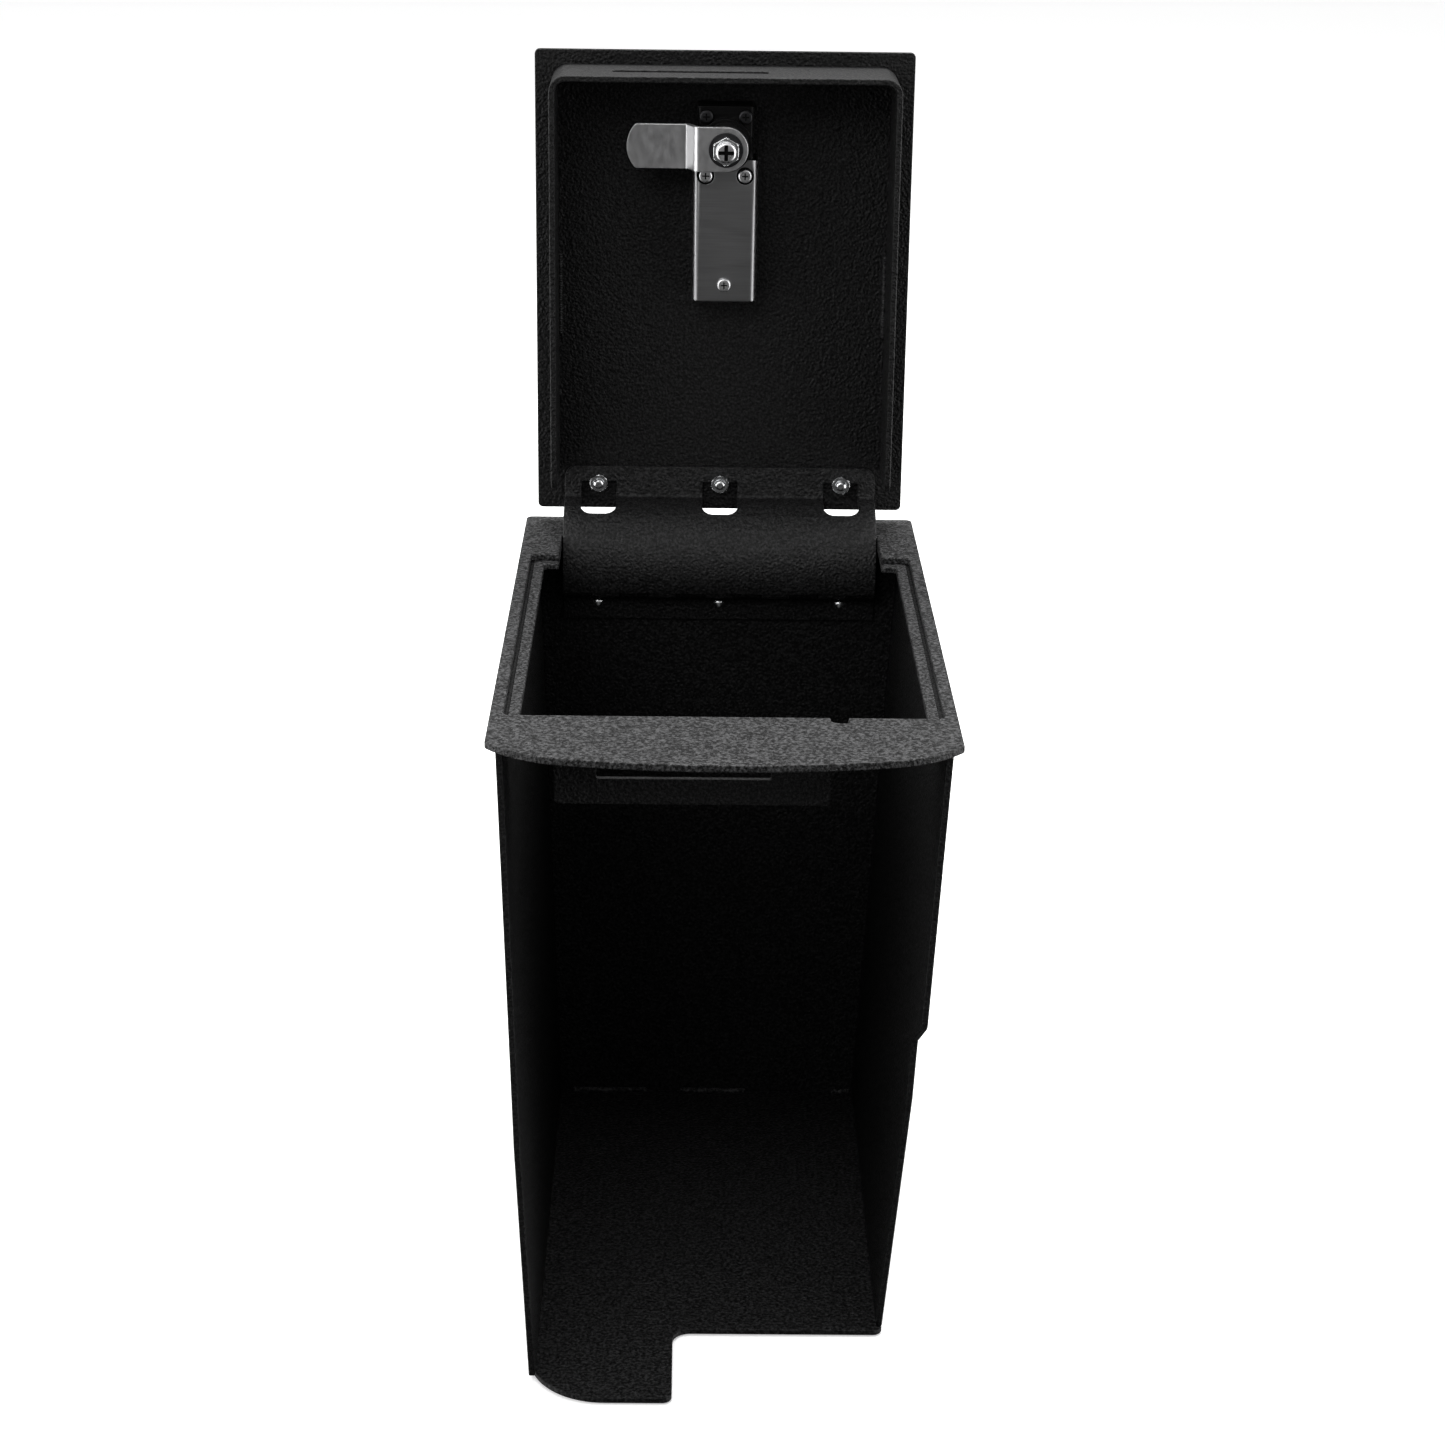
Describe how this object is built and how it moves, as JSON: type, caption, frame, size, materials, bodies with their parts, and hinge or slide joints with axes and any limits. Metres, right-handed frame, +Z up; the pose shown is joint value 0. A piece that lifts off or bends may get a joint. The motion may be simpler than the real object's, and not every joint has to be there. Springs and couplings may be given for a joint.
{
  "type": "console safe",
  "caption": "Open-fronted steel console safe with a lift-up lid on a gooseneck hinge and a combination cam lock that latches through a slotted strike.",
  "frame": {"origin": "underside of the floor plate, in the middle of the box's width", "axes": "+Z up, the open front faces -Y, +X to the right of someone who faces the open front"},
  "size_m": [0.185, 0.3605, 0.5201],
  "materials": {
    "black_powder_coat": "textured",
    "coated_weld": "textured",
    "bright_zinc": "bright",
    "brushed_stainless": "brushed",
    "black_plastic": "satin",
    "black_oxide": "satin",
    "satin_zinc": "brushed",
    "nickel_brass": "polished",
    "dial_plastic": "gloss"
  },
  "bodies": {
    "box": {"top_plate": "black_powder_coat", "ledge_plate": "black_powder_coat", "left_wall": "black_powder_coat", "right_wall": "black_powder_coat", "back_wall": "black_powder_coat", "floor_plate": "black_powder_coat", "strike_plate": "black_powder_coat", "floor_welds": "coated_weld", "hinge_body_leaf": "black_powder_coat", "hinge_rivets": "bright_zinc", "hinge_pin": "bright_zinc"},
    "lid": {"gooseneck_flap": "black_powder_coat", "lid_plate": "black_powder_coat", "lid_flange": "black_powder_coat", "lid_welds": "coated_weld", "lid_studs": "bright_zinc", "lid_nuts": "bright_zinc", "lock_housing": "black_plastic", "lock_cover": "brushed_stainless", "lock_clamp_screws": "bright_zinc", "lock_black_screws": "black_oxide", "lock_cover_screw": "bright_zinc", "lock_escutcheon": "black_plastic", "dial_axle": "bright_zinc"},
    "cam": {"cam_arm": "satin_zinc", "cam_washer": "black_oxide", "cam_nut": "bright_zinc", "cam_screw": "bright_zinc", "lock_spindle": "bright_zinc", "lock_knob": "black_plastic"},
    "key": {"key_plug": "nickel_brass"},
    "wheel_1": {"dial_wheel_1": "dial_plastic"},
    "wheel_2": {"dial_wheel_2": "dial_plastic"},
    "wheel_3": {"dial_wheel_3": "dial_plastic"},
    "wheel_4": {"dial_wheel_4": "dial_plastic"}
  },
  "joints": [
    {"name": "lid_hinge", "type": "hinge", "parent": "box", "child": "lid", "pos_m": [0, 0.133, 0.2708], "axis": [1, 0, 0], "range_deg": [0, 90]},
    {"name": "cam_turn", "type": "hinge", "parent": "lid", "child": "cam", "pos_m": [0.0005, 0.1575, 0.4804], "axis": [0, 1, 0], "range_deg": [0, 90]},
    {"name": "key_turn", "type": "hinge", "parent": "cam", "child": "key", "pos_m": [0.0005, 0.18956, 0.4804], "axis": [0, 1, 0], "range_deg": [0, 90]},
    {"name": "wheel_1_turn", "type": "hinge", "parent": "lid", "child": "wheel_1", "pos_m": [0.0005, 0.16866, 0.4541], "axis": [0, 0, 1], "continuous": true},
    {"name": "wheel_2_turn", "type": "hinge", "parent": "lid", "child": "wheel_2", "pos_m": [0.0005, 0.16866, 0.4451], "axis": [0, 0, 1], "continuous": true},
    {"name": "wheel_3_turn", "type": "hinge", "parent": "lid", "child": "wheel_3", "pos_m": [0.0005, 0.16866, 0.4361], "axis": [0, 0, 1], "continuous": true},
    {"name": "wheel_4_turn", "type": "hinge", "parent": "lid", "child": "wheel_4", "pos_m": [0.0005, 0.16866, 0.4271], "axis": [0, 0, 1], "continuous": true}
  ]
}
